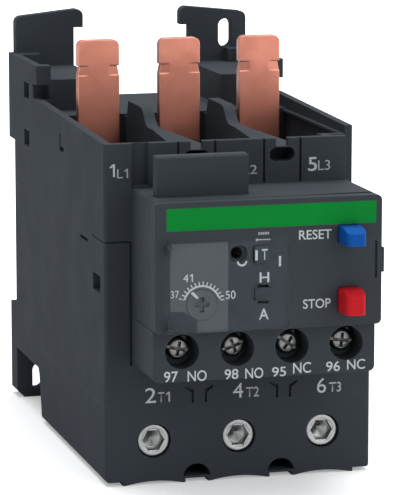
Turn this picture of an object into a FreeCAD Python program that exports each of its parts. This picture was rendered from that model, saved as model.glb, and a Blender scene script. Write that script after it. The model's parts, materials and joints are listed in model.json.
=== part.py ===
import FreeCAD, Part
import math
import os

from FreeCAD import Vector

# Thermal overload relay, three poles, in millimetres.
# While it is drawn, X runs across the poles, Y runs back from the main front face (Y = 0) and
# Z runs up from the underside. Every piece is moved to the part's own origin when it is written:
# the centre of the footprint, on the surface that the relay stands on.

# ---- overall body -------------------------------------------------------------------------------
body_width = 55.0
half_width = body_width / 2
end_margin = 1.25           # body beyond the outer poles' shares, at each side
pole_pitch = (body_width - 2 * end_margin) / 3
poles = [-pole_pitch, 0.0, pole_pitch]
wall = 1.6
body_depth = 84.7           # front face to the rear face of the moulded body
front_top = 67.8            # top of the front wall
side_top_rear = 69.2        # side walls rise slightly towards the rear
parting_height = 15.4       # joint between terminal base and upper housing
seam_height = 48.4          # floor of the upper compartments, and the seam outside
seam_gap = 0.4
seam_length = 10.0
corner_radius = 0.8
past = 1.0                  # how far a cutting shape runs past the face it opens
pole_gaps = [-pole_pitch / 2, pole_pitch / 2]

# ---- terminal base ------------------------------------------------------------------------------
base_foot_depth = 59.0
heel_run = 2.2
base_heel_depth = base_foot_depth + heel_run
step_length = 20.7
base_step_depth = body_depth - step_length
heel_round = 1.2
undercut_height = 10.7
lip_drop = 0.8
lip_half_width = 6.4
lip_depth = 5.0
lip_arch = 0.12
cable_radius = 5.4
cable_depth = 18.6          # distance of the cable entry's axis behind the front face
mouth_depth = 1.0
probe_radius = 2.9
probe_depth = 9.0
probe_sill = 0.4

# ---- main terminal screw, cage and bars ---------------------------------------------------------
screw_height = 8.0
head_radius = 3.4
head_length = 3.6
head_recess = 0.7
shank_radius = 2.5
hex_across_flats = 4.0
hex_depth = 2.6
screw_fit = 0.08
head_chamfer = 0.35
tip_gap = 0.1
cage_half_width = 6.2
cage_wall = 1.8
cage_half_height = 4.4
cage_travel = 3.5
head_clear = 0.8            # left between the screw's head and the cage pulled right forward
cage_front = head_recess + head_length + head_clear + cage_travel
cage_round = 0.6
cable_gap = 9.2
load_bar_front = 12.4
load_bar_thickness = 2.0
bend_radius = 1.0
bar_width = 8.8

# ---- line bars ----------------------------------------------------------------------------------
line_bar_setback = 38.7
line_bar_front = body_depth - line_bar_setback
line_bar_thickness = 2.2
line_bar_top = 83.3
line_bar_corner = 1.3
waist_low = 75.9
waist_high = 77.9
waist_depth = 0.35
waist_width = 2.4
waist_nick = 0.4            # how far a bar's edge steps in under the top of its waist

# ---- compartments and inner chamber -------------------------------------------------------------
deck_length = 30.7
well_rear = body_depth - deck_length
rear_deck_height = 66.6
partition_thickness = 2.4
floor_thickness = 2.0
chamber_front = 16.4
chamber_wall = 4.0
chamber_rear = well_rear - chamber_wall
insert_half = 3.75
groove = 0.5
groove_depth = 0.7
eye_half = 2.6
eye_radius = 1.4
eye_drop = 3.2
eye_depth = 6.0
brow_radius = 1.25
tab_half = 1.25
partition_top = 66.2
web_rear = 30.0             # where the webs behind the front inserts end
ear_front = 34.0
ear_rise = 7.0
ear_top = 69.7
ear_setback = 3.0
ear_rear = well_rear - ear_setback
ear_slope = 1.5
ledge_width = 0.8
ledge_height = 0.6
ledge_top = 66.4
neck_shift = 0.5
neck_half = 1.35
neck_flare = 1.3
neck_top = 18.9
neck_fall = 0.9
recess_width = 3.1
recess_lip = 0.4
notch_width = 5.5
notch_depth = 13.0
notch_drop = 1.2            # the notch's side wall stays lower than the front wall

# ---- rear shoulders, feet and lugs --------------------------------------------------------------
shoulder_length = 22.9
shoulder_width = 14.1
shoulder_front = body_depth - shoulder_length
shoulder_inner = half_width - shoulder_width
shelf_height = 73.4
rim_height = 76.4
window_low = 69.0
window_high = 72.3
window_depth = 3.6
frame_depth = 5.9
mount_plane = body_depth + frame_depth
lug_thickness = 3.0
lug_inset = 1.1
lug_width = 13.1
hook_reach = 2.1
lug_outer = half_width - lug_inset
lug_inner = lug_outer - lug_width
hook_inner = lug_inner - hook_reach
hook_height = 4.2
lug_top_inner = 86.0
lug_fall = 1.6
lug_top_outer = lug_top_inner - lug_fall
lug_foot = 8.0              # how far a lug reaches down behind its shoulder
lug_corner = 1.5
slot_width = 3.2
slot_length = 6.4
upper_slot_inset = 5.9
upper_slot_x = half_width - upper_slot_inset
upper_slot_z = 79.7
lower_slot_inset = 5.1
lower_slot_x = half_width - lower_slot_inset
lower_slot_z = 3.6
foot_width = 6.0
lower_foot_width = 8.6
foot_bevel = 1.6
upper_foot_low = 57.6
lower_foot_high = 20.4
plate_inset = 0.6
pocket_drop = 4.0

# ---- pockets in the side walls ------------------------------------------------------------------
snap_setback = 7.5
snap_front = shoulder_front + snap_setback
snap_length = 5.3
snap_height = 3.5
upper_snap_low = 68.3
lower_snap_low = 57.9
front_snap_front = 3.6
front_snap_length = 6.4
front_snap_low = 37.6
slit_front = 14.0
slit_length = 6.8
slit_drop = 2.2
slit_height = 0.7
slit_depth = 1.0
ell_front = 35.6
ell_length = 4.0
ell_low = 61.3
ell_height = 3.6
ell_width = 1.1

# ---- control module -----------------------------------------------------------------------------
module_offset = 0.4
module_inset = 5.2
module_half_width = half_width - module_inset
module_top = 59.0
module_wall = 1.5
panel_bottom = 33.5
panel_front = 19.6          # distance of the fascia in front of the main front face
panel_thickness = 2.6
panel_lip = 0.4
panel_half_width = module_half_width + panel_lip
panel_corner = 1.0
panel_drop = 0.1
gap_left = 4.2
gap_run = 12.0
gap_width = 0.9
shelf_right = 11.6
shelf_thickness = 1.0
aux_bottom = 23.5
aux_round = 1.2
aux_front = 16.6
aux_lip = 0.1
aux_half_width = module_half_width + aux_lip
band_low = 53.5
band_high = 57.8
band_left = -20.0
band_right = 21.9
band_thickness = 0.5

# ---- buttons ------------------------------------------------------------------------------------
button_left = 14.3
button_width = 4.0
button_stand = 5.6
button_travel = 2.8
button_fit = 0.1
reset_low = 49.9
reset_high = 53.2
stop_low = 36.4
stop_high = 41.0
button_slope = 0.9
button_ramp = 2.5
button_round = 1.1
stem_radius = 1.5
stem_rear = 8.2
nose_radius = 0.8
nose_length = 2.4
spring_radius = 1.35
wire_radius = 0.22
spring_gap = 0.05
spring_turns = 4
runs_per_turn = 12

# ---- current dial, sliders, indicator and clear cover -------------------------------------------
dial_x = -13.1
dial_z = 39.05
dial_radius = 3.0
dial_proud = 0.1
dial_fit = 0.06
dial_shaft_radius = 1.4
dial_slot_width = 0.8
dial_slot_depth = 0.5
dial_cross = 1.4             # half length of each arm of the driver recess
cam_radius = 2.2
cam_rear = 10.4
cam_thickness = 2.4
cam_offset = 0.6
scale_left = -19.3
scale_right = -7.9
scale_low = 33.9
scale_high = 51.0
scale_step = 37.9
scale_bay = 5.3             # width of the step cut from the lower left corner
scale_drop = 2.0
scale_thickness = 0.4
test_x = -1.35
test_z = 48.3
test_width = 2.9
test_height = 3.4
test_slot = (1.2, 2.2)
test_travel = 0.8
mode_x = -0.9
mode_z = 40.55
mode_width = 3.5
mode_height = 2.65
mode_slot = (1.7, 1.9)
mode_travel = 0.7           # either way from the middle
slider_fit = 0.15
slider_proud = 0.5
slider_gap = 0.06
slider_round = 0.3
flange_thickness = 1.2
flag_x = -5.9
flag_z = 48.6
flag_radius = 1.2
flag_rim = 0.6
flag_recess = 1.0
flag_start = 2.3            # from the window's middle to the flag's edge, when not tripped
flag_width = 3.0
flag_depth = 14.6           # distance of the flag's rear face in front of the main front face
flag_thickness = 0.8
flag_margin = 0.5
flag_arm = 2.0
cover_right = 3.9
cover_thickness = 0.9
cover_gap = 0.65
cover_round = 0.8
hinge_x = -19.8
hinge_pin_radius = 0.28
hinge_fit = 0.05
pin_length = 1.6
ear_half = 0.45
ear_height = 0.8
ear_clear = 0.3

# ---- trip mechanism -----------------------------------------------------------------------------
bimetal_front = 22.0
bimetal_width = 6.0
bimetal_thickness = 0.8
bimetal_top = 44.4
strip_foot = 1.2
heater_thickness = 1.2
heater_width = 6.4
heater_slots = 5
heater_slot = 1.0
heater_first = 3.0          # first slot above the foot
heater_pitch = 2.4
heater_reach = 0.4          # how far past the middle a slot reaches, of the half width
bar_foot_length = 6.0
heater_front = line_bar_front - bar_foot_length
bar_foot_height = 36.0
trip_bar_low = 40.5
trip_bar_thickness = 1.2
trip_bar_gap = 0.4
trip_bar_front = 18.5
trip_bar_depth = 12.0
trip_travel = 2.0
trip_clear = 0.3
trip_bar_margin = 1.9
lever_inset = 8.1
trip_bar_left = wall + trip_bar_margin - half_width
lever_x = half_width - lever_inset
lever_thickness = 2.0
lever_swing = 3.6
lever_pivot = 8.0
lever_hub_radius = 2.0
lever_pin_radius = 1.0
lever_front = -7.0
lever_rear = 20.6
carrier_low = 41.4
carrier_height = 3.0
carrier_wall = 0.6
carrier_front = -9.2
carrier_depth = 4.0
carrier_left = -13.0
carrier_travel = 2.6
bridge_thickness = 0.6
bridge_span = 9.6
nc_bridge_x = 9.6
no_bridge_x = -4.6
contact_gap = 0.12
contact_thickness = 1.0
contact_width = 2.2

# ---- auxiliary terminals ------------------------------------------------------------------------
aux_pitch = 11.05
aux_offset = 0.4
aux_screw_z = 29.4
aux_head_face = 12.9
aux_head_radius = 2.25
aux_head_length = 1.5
aux_shank_radius = 1.4
aux_shank_length = 5.0
clamp_half = 2.1
clamp_thickness = 0.9
aux_pocket_half = 3.4
clamp_room = 4.4            # how far a clamp can move back in its pocket

# ---- marker plate and latch ---------------------------------------------------------------------
marker_left = -20.2
marker_right = -1.8
marker_front = 12.6
marker_thickness = 2.6
marker_top = 66.9
marker_bevel = 0.4
marker_round = 0.3
latch_low = 43.6
latch_high = 48.4
latch_proud = 0.7
latch_face = 0.6
edge_groove_x = 21.9

aux_places = [aux_offset + (i - 1.5) * aux_pitch for i in range(4)]
button_face = panel_front + button_stand
origin_shift = Vector(0, (button_face - mount_plane) / 2, lip_drop)


def block(x, y, z):
    """Box between the two values of each axis."""
    return Part.makeBox(x[1] - x[0], y[1] - y[0], z[1] - z[0], Vector(x[0], y[0], z[0]))


def rod_y(x, z, y, radius):
    """Round bar along Y."""
    return Part.makeCylinder(radius, y[1] - y[0], Vector(x, y[0], z), Vector(0, 1, 0))


def rod_z(x, y, z, radius):
    """Round bar along Z."""
    return Part.makeCylinder(radius, z[1] - z[0], Vector(x, y, z[0]), Vector(0, 0, 1))


def prism_x(points, x):
    """Profile of (Y, Z) points, run from x[0] to x[1]."""
    corners = [Vector(x[0], y, z) for y, z in points]
    face = Part.Face(Part.makePolygon(corners + corners[:1]))
    return face.extrude(Vector(x[1] - x[0], 0, 0))


def prism_y(points, y):
    """Profile of (X, Z) points, run from y[0] to y[1]."""
    corners = [Vector(x, y[0], z) for x, z in points]
    face = Part.Face(Part.makePolygon(corners + corners[:1]))
    return face.extrude(Vector(0, y[1] - y[0], 0))


def prism_z(points, z):
    """Profile of (X, Y) points, run from z[0] to z[1]."""
    corners = [Vector(x, y, z[0]) for x, y in points]
    face = Part.Face(Part.makePolygon(corners + corners[:1]))
    return face.extrude(Vector(0, 0, z[1] - z[0]))


def joined(shapes):
    """One solid from touching shapes."""
    whole = shapes[0]
    for shape in shapes[1:]:
        whole = whole.fuse(shape)
    return whole.removeSplitter()


def cut_all(shape, tools):
    """The shape less every tool."""
    return shape.cut(tools).removeSplitter() if tools else shape


def mirrored(shape):
    """The shape on the other side of the middle plane."""
    return shape.mirror(Vector(0, 0, 0), Vector(1, 0, 0))


def round_edges(shape, radius, wanted):
    """Fillet the straight edges that the test picks."""
    edges = [edge for edge in shape.Edges if len(edge.Vertexes) == 2 and wanted(edge)]
    return shape.makeFillet(radius, edges) if edges else shape


def runs_along(edge, axis):
    """True for an edge parallel to X, Y or Z."""
    step = edge.Vertexes[1].Point.sub(edge.Vertexes[0].Point)
    others = [abs(step[i]) for i in range(3) if i != "xyz".index(axis)]
    return max(others) < 1e-6


def at(edge, axis, value):
    """True when both ends of an edge have this value on an axis."""
    i = "xyz".index(axis)
    return all(abs(vertex.Point[i] - value) < 1e-4 for vertex in edge.Vertexes)


def write(node, shapes):
    """Move a node's solids to the part's origin and write them."""
    group = shapes if isinstance(shapes, list) else [shapes]
    solids = [solid for shape in group for solid in shape.Solids]
    moved = [solid.translated(origin_shift) for solid in solids]
    whole = moved[0] if len(moved) == 1 else Part.makeCompound(moved)
    whole.exportStep(f"parts/{node}.step")


# ---- terminal base ------------------------------------------------------------------------------
def base_profile():
    """Side outline of the base: sloping heel, then a step under the rear of the body."""
    return [
        (0, 0),
        (base_foot_depth, 0),
        (base_heel_depth, undercut_height - heel_round),
        (base_heel_depth + heel_round, undercut_height),
        (base_step_depth, undercut_height),
        (base_step_depth, parting_height),
        (0, parting_height),
    ]


def entry_lip(x):
    """Shallow skirt under a cable entry, hollowed by a flat arc."""
    skirt = block((x - lip_half_width, x + lip_half_width), (0, lip_depth), (-lip_drop, 0))
    arc_radius = (lip_half_width ** 2 + lip_drop ** 2) / (2 * lip_drop)
    arc = rod_y(x, -arc_radius - lip_arch, (-past, lip_depth + past), arc_radius)
    return skirt.cut(arc)


def cage_room():
    """Half width of the pocket that guides a cage."""
    return cage_half_width + trip_clear


def base_cuts(x):
    """Screw bore, cage pocket and cable entry of one pole."""
    cage_rear = load_bar_front + load_bar_thickness + cable_gap + cage_wall
    pocket = block(
        (x - cage_room(), x + cage_room()),
        (head_recess + head_length, cage_rear + trip_clear),
        (screw_height - cage_half_height - trip_clear, parting_height),
    )
    bore = rod_y(x, screw_height, (-past, head_recess + head_length + past), head_radius + screw_fit)
    cable = rod_z(x, cable_depth, (-lip_drop - past, screw_height), cable_radius)
    mouth = rod_z(x, cable_depth, (-past, mouth_depth), cable_radius + mouth_depth)
    return [pocket, bore, cable, mouth]


def terminal_base():
    """Moulded base with the box clamps, the cable entries and the probe pockets."""
    body = prism_x(base_profile(), (-half_width, half_width))
    body = round_edges(
        body,
        corner_radius,
        lambda e: (runs_along(e, "z") and at(e, "y", 0)) or (runs_along(e, "y") and at(e, "z", 0)),
    )
    body = joined([body] + [entry_lip(x) for x in poles])
    tools = [tool for x in poles for tool in base_cuts(x)]
    for x in pole_gaps:
        pocket = rod_y(x, 0, (-past, probe_depth), probe_radius)
        sill = block((x - probe_radius, x + probe_radius), (-past, probe_depth),
                     (-probe_radius, probe_sill))
        tools.append(pocket.cut(sill))
    return cut_all(body, tools)


def terminal_screw(x):
    """Captive hexagon-socket screw of one main terminal."""
    head_rear = head_recess + head_length
    tip = load_bar_front - tip_gap
    head = rod_y(x, screw_height, (head_recess, head_rear), head_radius)
    head = head.makeChamfer(head_chamfer, [e for e in head.Edges if at_front(e, head_recess)])
    shank = rod_y(x, screw_height, (head_rear, tip), shank_radius)
    corner = hex_across_flats / math.sqrt(3)
    socket = prism_y(
        [
            (x + corner * math.cos(math.radians(60 * i)),
             screw_height + corner * math.sin(math.radians(60 * i)))
            for i in range(6)
        ],
        (head_recess - past, head_recess + hex_depth),
    )
    return head.fuse(shank).cut(socket).removeSplitter()


def at_front(edge, y):
    """True for the round edge on the plane of this Y."""
    return len(edge.Vertexes) == 1 and abs(edge.Vertexes[0].Point.y - y) < 1e-6


def terminal_cage(x):
    """Rectangular loop round the load bar, pulled forward as its screw turns."""
    low = screw_height - cage_half_height
    high = screw_height + cage_half_height
    rear = load_bar_front + load_bar_thickness + cable_gap
    outer = block(
        (x - cage_half_width, x + cage_half_width), (cage_front, rear + cage_wall), (low, high)
    )
    inner_half = cage_half_width - cage_wall / 2
    hollow = block(
        (x - inner_half, x + inner_half), (cage_front + cage_wall, rear), (low - past, high + past)
    )
    thread = rod_y(
        x, screw_height, (cage_front - past, cage_front + cage_wall + past), shank_radius + screw_fit
    )
    loop = outer.cut(hollow).cut(thread).removeSplitter()
    return round_edges(loop, cage_round, lambda e: at(e, "x", x - cage_half_width)
                       or at(e, "x", x + cage_half_width))


def load_bar(x):
    """Copper angle from the bimetal's foot down into the cage."""
    half = bar_width / 2
    top = parting_height + 2 * floor_thickness
    leg = block(
        (x - half, x + half),
        (load_bar_front, load_bar_front + load_bar_thickness),
        (screw_height - cage_half_height, top),
    )
    shelf = block(
        (x - half, x + half),
        (load_bar_front, heater_front + heater_thickness),
        (parting_height + floor_thickness, top),
    )
    angle = leg.fuse(shelf).removeSplitter()
    return round_edges(angle, bend_radius, lambda e: runs_along(e, "x") and at(e, "y", load_bar_front)
                       and at(e, "z", top))


# ---- upper housing ------------------------------------------------------------------------------
def housing_profile():
    """Side outline of the housing below the shoulders."""
    return [
        (0, parting_height),
        (base_step_depth, parting_height),
        (base_step_depth, undercut_height),
        (body_depth, undercut_height),
        (body_depth, side_top_rear),
        (shoulder_front, side_top_rear),
        (0, front_top),
    ]


def shoulder(side):
    """Raised rear corner: a shelf inside a higher rim, with a window under its front end."""
    shelf = block((shoulder_inner, half_width), (shoulder_front, body_depth),
                  (rear_deck_height, shelf_height))
    rim = block((half_width - wall, half_width), (shoulder_front, body_depth),
                (rear_deck_height, rim_height))
    post = block((half_width - 2 * wall, half_width), (shoulder_front, shoulder_front + 2 * wall),
                 (shelf_height, rim_height))
    window = block((half_width - 2 * wall, half_width + past),
                   (shoulder_front - past, shoulder_front + window_depth), (window_low, window_high))
    corner = joined([shelf, rim, post]).cut(window)
    return corner if side > 0 else mirrored(corner)


def compartment(index):
    """Open well of one pole, between the partitions."""
    left = wall - half_width if index == 0 else poles[index] - pole_pitch / 2
    right = half_width - wall if index == 2 else poles[index] + pole_pitch / 2
    left += 0 if index == 0 else partition_thickness / 2
    right -= 0 if index == 2 else partition_thickness / 2
    return block((left, right), (wall, well_rear), (seam_height, side_top_rear + past))


def inner_chamber(index):
    """Closed chamber of one pole, where its bimetal strip stands."""
    half = (pole_pitch - partition_thickness) / 2
    if index != 1:
        half = half_width - wall - pole_pitch
    inner = (pole_pitch - partition_thickness) / 2
    left = poles[index] - (half if index == 0 else inner)
    right = poles[index] + (half if index == 2 else inner)
    low = parting_height + floor_thickness
    high = seam_height - floor_thickness
    return block((left, right), (chamber_front, chamber_rear), (low, high))


def notch_cut():
    """Set-back front corner on the right, above the seam."""
    return block((half_width - notch_width, half_width + past), (-past, notch_depth),
                 (seam_height, side_top_rear + 5 * past))


def notch_walls():
    """Walls that close the right-hand compartment round the notch."""
    left = half_width - notch_width
    side = block((left - wall, left), (0, notch_depth), (seam_height, front_top - notch_drop))
    back = block((left - wall, half_width), (notch_depth, notch_depth + wall),
                 (seam_height, ledge_top))
    return [side, back]


def partition_slot():
    """Window in the chamber partitions that guides both trip bars."""
    return block(
        (-pole_pitch, pole_pitch),
        (trip_bar_front - trip_clear, trip_bar_front + trip_bar_depth + trip_clear),
        (trip_bar_low - trip_clear, trip_bar_top() + trip_clear),
    )


def trip_bar_top():
    """Height of the upper trip bar's top face."""
    return trip_bar_low + 2 * trip_bar_thickness + trip_bar_gap


def lever_passage():
    """Slot through the front wall for the compensating lever."""
    return block(
        (lever_x - lever_swing, lever_x + lever_swing),
        (-past, chamber_front + past),
        (trip_bar_low - trip_clear, trip_bar_top() + trip_clear),
    )


def front_inserts():
    """Grooves, tab notch and eyebrow hole of the two probe inserts in the front wall."""
    over = side_top_rear + 1
    tools = []
    for middle in pole_gaps:
        for side in (-1, 1):
            x = middle + side * insert_half
            tools.append(block((x - groove / 2, x + groove / 2), (-past, groove_depth),
                               (module_top, over)))
        tools.append(block((middle - tab_half, middle + tab_half), (-past, wall), (partition_top, over)))
        tools.append(eye_hole(middle))
    x = notch_width - half_width
    tools.append(block((x, x + groove), (-past, groove_depth), (module_top, over)))
    tools.append(block((x + groove, x + groove + recess_width), (-past, 2 * groove_depth),
                       (module_top + recess_lip, over)))
    return tools


def eye_hole(middle):
    """Blind lens-shaped hole of a probe insert, with a narrow brow over it."""
    z = front_top - eye_drop
    span = (-past, eye_depth)
    reach = eye_half - eye_radius
    flat = block((middle - reach, middle + reach), span, (z - eye_radius, z + eye_radius))
    ends = [rod_y(middle + side * reach, z, span, eye_radius) for side in (-1, 1)]
    brow = rod_y(middle, partition_top - groove - brow_radius, span, brow_radius)
    return joined([flat, brow] + ends)


def neck_grooves():
    """Flared grooves either side of the neck over each probe pocket."""
    tools = []
    for middle in [neck_shift + x for x in pole_gaps]:
        for side in (-1, 1):
            inner = middle + side * (neck_half - groove / 2)
            outer = middle + side * (neck_half + groove / 2)
            flared = outer + side * neck_flare
            tools.append(prism_y(
                [(inner, parting_height), (inner, neck_top - neck_fall), (flared, neck_top),
                 (flared, neck_top - groove), (outer, neck_top - neck_fall - groove),
                 (outer, parting_height)],
                (-past, groove_depth),
            ))
    return tools


def partition_web(middle):
    """Web that widens from a partition to the insert in the front wall."""
    half = partition_thickness / 2
    return prism_z(
        [(middle - insert_half, wall), (middle + insert_half, wall), (middle + half, web_rear),
         (middle - half, web_rear)],
        (seam_height, partition_top),
    )


def s_arcs(start, end):
    """Two equal arcs that leave start and reach end level, as edges in the plane X = 0."""
    run = end[0] - start[0]
    rise = end[1] - start[1]
    radius = (run ** 2 + rise ** 2) / (4 * rise)
    lean = math.atan2(rise, run)
    sag = radius * (1 - math.cos(lean))
    reach = radius * math.sin(lean)
    first = Vector(0, start[0], start[1])
    middle = Vector(0, start[0] + run / 2, start[1] + rise / 2)
    last = Vector(0, end[0], end[1])
    lower = Vector(0, start[0] + reach, start[1] + sag)
    upper = Vector(0, end[0] - reach, end[1] - sag)
    return [Part.Arc(first, lower, middle).toShape(), Part.Arc(middle, upper, last).toShape()]


def partition_ear(middle):
    """Raised rear part of a partition, whose front edge rises in an S."""
    foot = partition_top - ear_rise
    path = [
        Vector(0, ear_front + ear_rise, ear_top),
        Vector(0, ear_rear, ear_top),
        Vector(0, ear_rear + ear_slope, partition_top),
        Vector(0, ear_rear + ear_slope, foot),
        Vector(0, ear_front, foot),
        Vector(0, ear_front, partition_top),
    ]
    edges = s_arcs((ear_front, partition_top), (ear_front + ear_rise, ear_top))
    edges += [Part.makeLine(a, b) for a, b in zip(path, path[1:])]
    outline = Part.Wire(edges)
    half = partition_thickness / 2
    ear = Part.Face(outline).extrude(Vector(partition_thickness, 0, 0))
    return ear.translated(Vector(middle - half, 0, 0))


def over_partition(middle):
    """Room over a partition's low front part."""
    half = partition_thickness / 2
    return block((middle - half - groove, middle + half + groove), (wall, well_rear),
                 (partition_top, side_top_rear + past))


def wall_ledges():
    """Thin ledges along the inner faces of both side walls."""
    x = half_width - wall
    span = (ledge_top - ledge_height, ledge_top)
    right = block((x - ledge_width, x), (notch_depth + wall, well_rear), span)
    left = block((-x, ledge_width - x), (wall, well_rear), span)
    return [right, left]


def side_marks():
    """Snap pockets, a slit and an angled slot in the left and right side walls."""
    snap = (snap_front, snap_front + snap_length)
    front_snap = (front_snap_front, front_snap_front + front_snap_length)
    slit_low = seam_height - slit_drop
    marks = [
        block((-past, wall + groove), snap, (upper_snap_low, upper_snap_low + snap_height)),
        block((-past, wall), snap, (lower_snap_low, lower_snap_low + snap_height)),
        block((-past, wall), front_snap, (front_snap_low, front_snap_low + snap_height)),
        block((-past, slit_depth), (slit_front, slit_front + slit_length),
              (slit_low, slit_low + slit_height)),
        block((-past, slit_depth), (ell_front, ell_front + ell_length), (ell_low, ell_low + ell_width)),
        block((-past, slit_depth), (ell_front + ell_length - ell_width, ell_front + ell_length),
              (ell_low, ell_low + ell_height)),
    ]
    left = [mark.translated(Vector(-half_width, 0, 0)) for mark in marks]
    return left + [mirrored(mark) for mark in left]


def seam_grooves():
    """Shadow lines at the compartment floor and down the left column beside the module."""
    low = seam_height - seam_gap / 2
    high = seam_height + seam_gap / 2
    left = block((-half_width - past, seam_gap / 2 - half_width), (-past, seam_length), (low, high))
    front = block((-half_width - past, notch_width - half_width), (-past, seam_gap), (low, high))
    column = module_offset - module_half_width
    upright = block((column - groove, column), (-past, groove_depth), (aux_bottom, seam_height))
    return [left, mirrored(left), front, mirrored(front), upright]


def bar_slots(x):
    """Openings in the floors for the line bar and the load bar of one pole."""
    half = bar_width / 2 + slider_fit
    line = block(
        (x - half, x + half),
        (line_bar_front - slider_fit, line_bar_front + line_bar_thickness + slider_fit),
        (seam_height - floor_thickness - past, seam_height + past),
    )
    load = block(
        (x - half, x + half),
        (load_bar_front - slider_fit, load_bar_front + load_bar_thickness + slider_fit),
        (parting_height - past, parting_height + 2 * floor_thickness),
    )
    step = block(
        (x - half, x + half),
        (load_bar_front - slider_fit, chamber_front + past),
        (parting_height + floor_thickness, parting_height + 2 * floor_thickness + slider_fit),
    )
    return [line, load, step]


def upper_housing():
    """Housing of the three poles: wells above, closed chambers below."""
    body = prism_x(housing_profile(), (-half_width, half_width))
    body = round_edges(body, corner_radius, lambda e: runs_along(e, "z") and at(e, "y", 0))
    deck = block((-half_width + wall, half_width - wall), (well_rear, body_depth + past),
                 (rear_deck_height, side_top_rear + past))
    rooms = [compartment(i) for i in range(3)] + [over_partition(x) for x in pole_gaps]
    body = body.cut(rooms + [deck])
    ribs = [partition_web(x) for x in pole_gaps] + [partition_ear(x) for x in pole_gaps]
    body = joined([body, shoulder(-1), shoulder(1)] + ribs + wall_ledges())
    body = joined([body.cut(notch_cut())] + notch_walls())
    tools = [inner_chamber(i) for i in range(3)]
    tools += [partition_slot(), lever_passage()]
    tools += front_inserts() + neck_grooves() + side_marks() + seam_grooves()
    for x in poles:
        tools += bar_slots(x)
    return cut_all(body, tools)


def line_bar(x):
    """Copper bar with rounded top corners, a coined waist and a foot over its heater."""
    half = bar_width / 2
    rear = line_bar_front + line_bar_thickness
    blade = block((x - half, x + half), (line_bar_front, rear), (bar_foot_height, line_bar_top))
    blade = round_edges(blade, line_bar_corner,
                        lambda e: runs_along(e, "y") and at(e, "z", line_bar_top))
    foot = block((x - half, x + half), (heater_front, line_bar_front),
                 (bar_foot_height, bar_foot_height + line_bar_thickness))
    bar = blade.fuse(foot).removeSplitter()
    coins = []
    for side in (-1, 1):
        edge = x + side * half
        inner = edge - side * waist_width
        coins.append(prism_z(
            [(edge + side, line_bar_front - 1), (inner, line_bar_front - 1),
             (inner, line_bar_front), (edge, line_bar_front + waist_depth),
             (edge + side, line_bar_front + waist_depth)],
            (waist_low, waist_high),
        ))
        coins.append(prism_y(
            [(edge + side, waist_high), (edge - side * waist_nick, waist_high), (edge, waist_low),
             (edge + side, waist_low)],
            (line_bar_front - past, rear + past),
        ))
    return cut_all(bar, coins)


# ---- rear frame ---------------------------------------------------------------------------------
def lug_outline():
    """Upper right lug: sloping top edge and an inward hook."""
    return [
        (lug_inner, shelf_height - lug_foot),
        (lug_outer, shelf_height - lug_foot),
        (lug_outer, lug_top_outer),
        (hook_inner, lug_top_inner),
        (hook_inner, lug_top_inner - hook_height),
        (lug_inner, lug_top_inner - hook_height),
    ]


def upright_slot(x, z):
    """Screw slot with round ends, through the lug along Y."""
    reach = (slot_length - slot_width) / 2
    radius = slot_width / 2
    middle = block((x - radius, x + radius), (body_depth, mount_plane + past), (z - reach, z + reach))
    ends = [rod_y(x, z + side * reach, (body_depth, mount_plane + past), radius) for side in (-1, 1)]
    return joined([middle] + ends)


def rear_frame():
    """Back plate with two upper lugs, four feet and a lower screw lug."""
    lug_front = mount_plane - lug_thickness
    lug = prism_y(lug_outline(), (lug_front, mount_plane))
    lug = round_edges(lug, lug_corner, lambda e: runs_along(e, "y")
                      and e.CenterOfMass.z > lug_top_outer - 1)
    plate_edge = half_width - plate_inset
    plate = block((-plate_edge, plate_edge), (body_depth, lug_front), (undercut_height, shelf_height))
    pocket = block((wall - lug_inner, lug_inner - wall), (body_depth + wall, mount_plane),
                   (lower_foot_high, rear_deck_height - pocket_drop))
    middle = block((-lug_inner, lug_inner), (body_depth - past, mount_plane),
                   (rear_deck_height, rim_height))
    upper = block((half_width - foot_width, half_width), (body_depth, mount_plane),
                  (upper_foot_low, rim_height))
    lower_inner = half_width - lower_foot_width
    lower = prism_y(
        [
            (lower_inner, undercut_height),
            (lower_inner, -lip_drop),
            (half_width - foot_bevel, -lip_drop),
            (half_width, foot_bevel - lip_drop),
            (half_width, lower_foot_high),
            (lower_inner, lower_foot_high),
        ],
        (body_depth, mount_plane),
    )
    corner = [lug, upper, lower]
    body = joined([plate] + corner + [mirrored(shape) for shape in corner])
    slots = [upright_slot(upper_slot_x, upper_slot_z), upright_slot(-lower_slot_x, lower_slot_z)]
    return cut_all(body, [pocket, middle] + slots)


# ---- control module -----------------------------------------------------------------------------
def module_room():
    """Hollow behind the fascia, open to the front and the rear."""
    half = module_half_width - module_wall
    return block((module_offset - half, module_offset + half), (-panel_front - past, past),
                 (panel_bottom + module_wall, module_top - module_wall))


def control_housing():
    """Surround of the control module with the guide shelf of the contact carrier."""
    back_of_panel = panel_thickness - panel_front
    tube = block((module_offset - module_half_width, module_offset + module_half_width),
                 (back_of_panel, 0), (panel_bottom, module_top))
    tube = round_edges(tube, corner_radius, lambda e: runs_along(e, "y") and at(e, "z", module_top))
    shelf_top = carrier_low - trip_clear
    shelf_rear = carrier_front + (carrier_depth + bridge_span) / 2 - contact_width - trip_clear
    shelf = block((module_offset + module_wall - module_half_width, shelf_right),
                  (carrier_front, shelf_rear), (shelf_top - shelf_thickness, shelf_top))
    return joined([tube.cut([module_room(), top_gap()]), shelf])


def top_gap():
    """Tapered gap behind the fascia's top edge, on the right."""
    y = panel_thickness - panel_front
    right = module_offset + module_half_width
    return prism_z([(gap_left, y), (gap_left + gap_run, y + gap_width),
                    (right - gap_width, y + gap_width), (right - gap_width, y)],
                   (module_top - gap_width, module_top + past))


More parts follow.
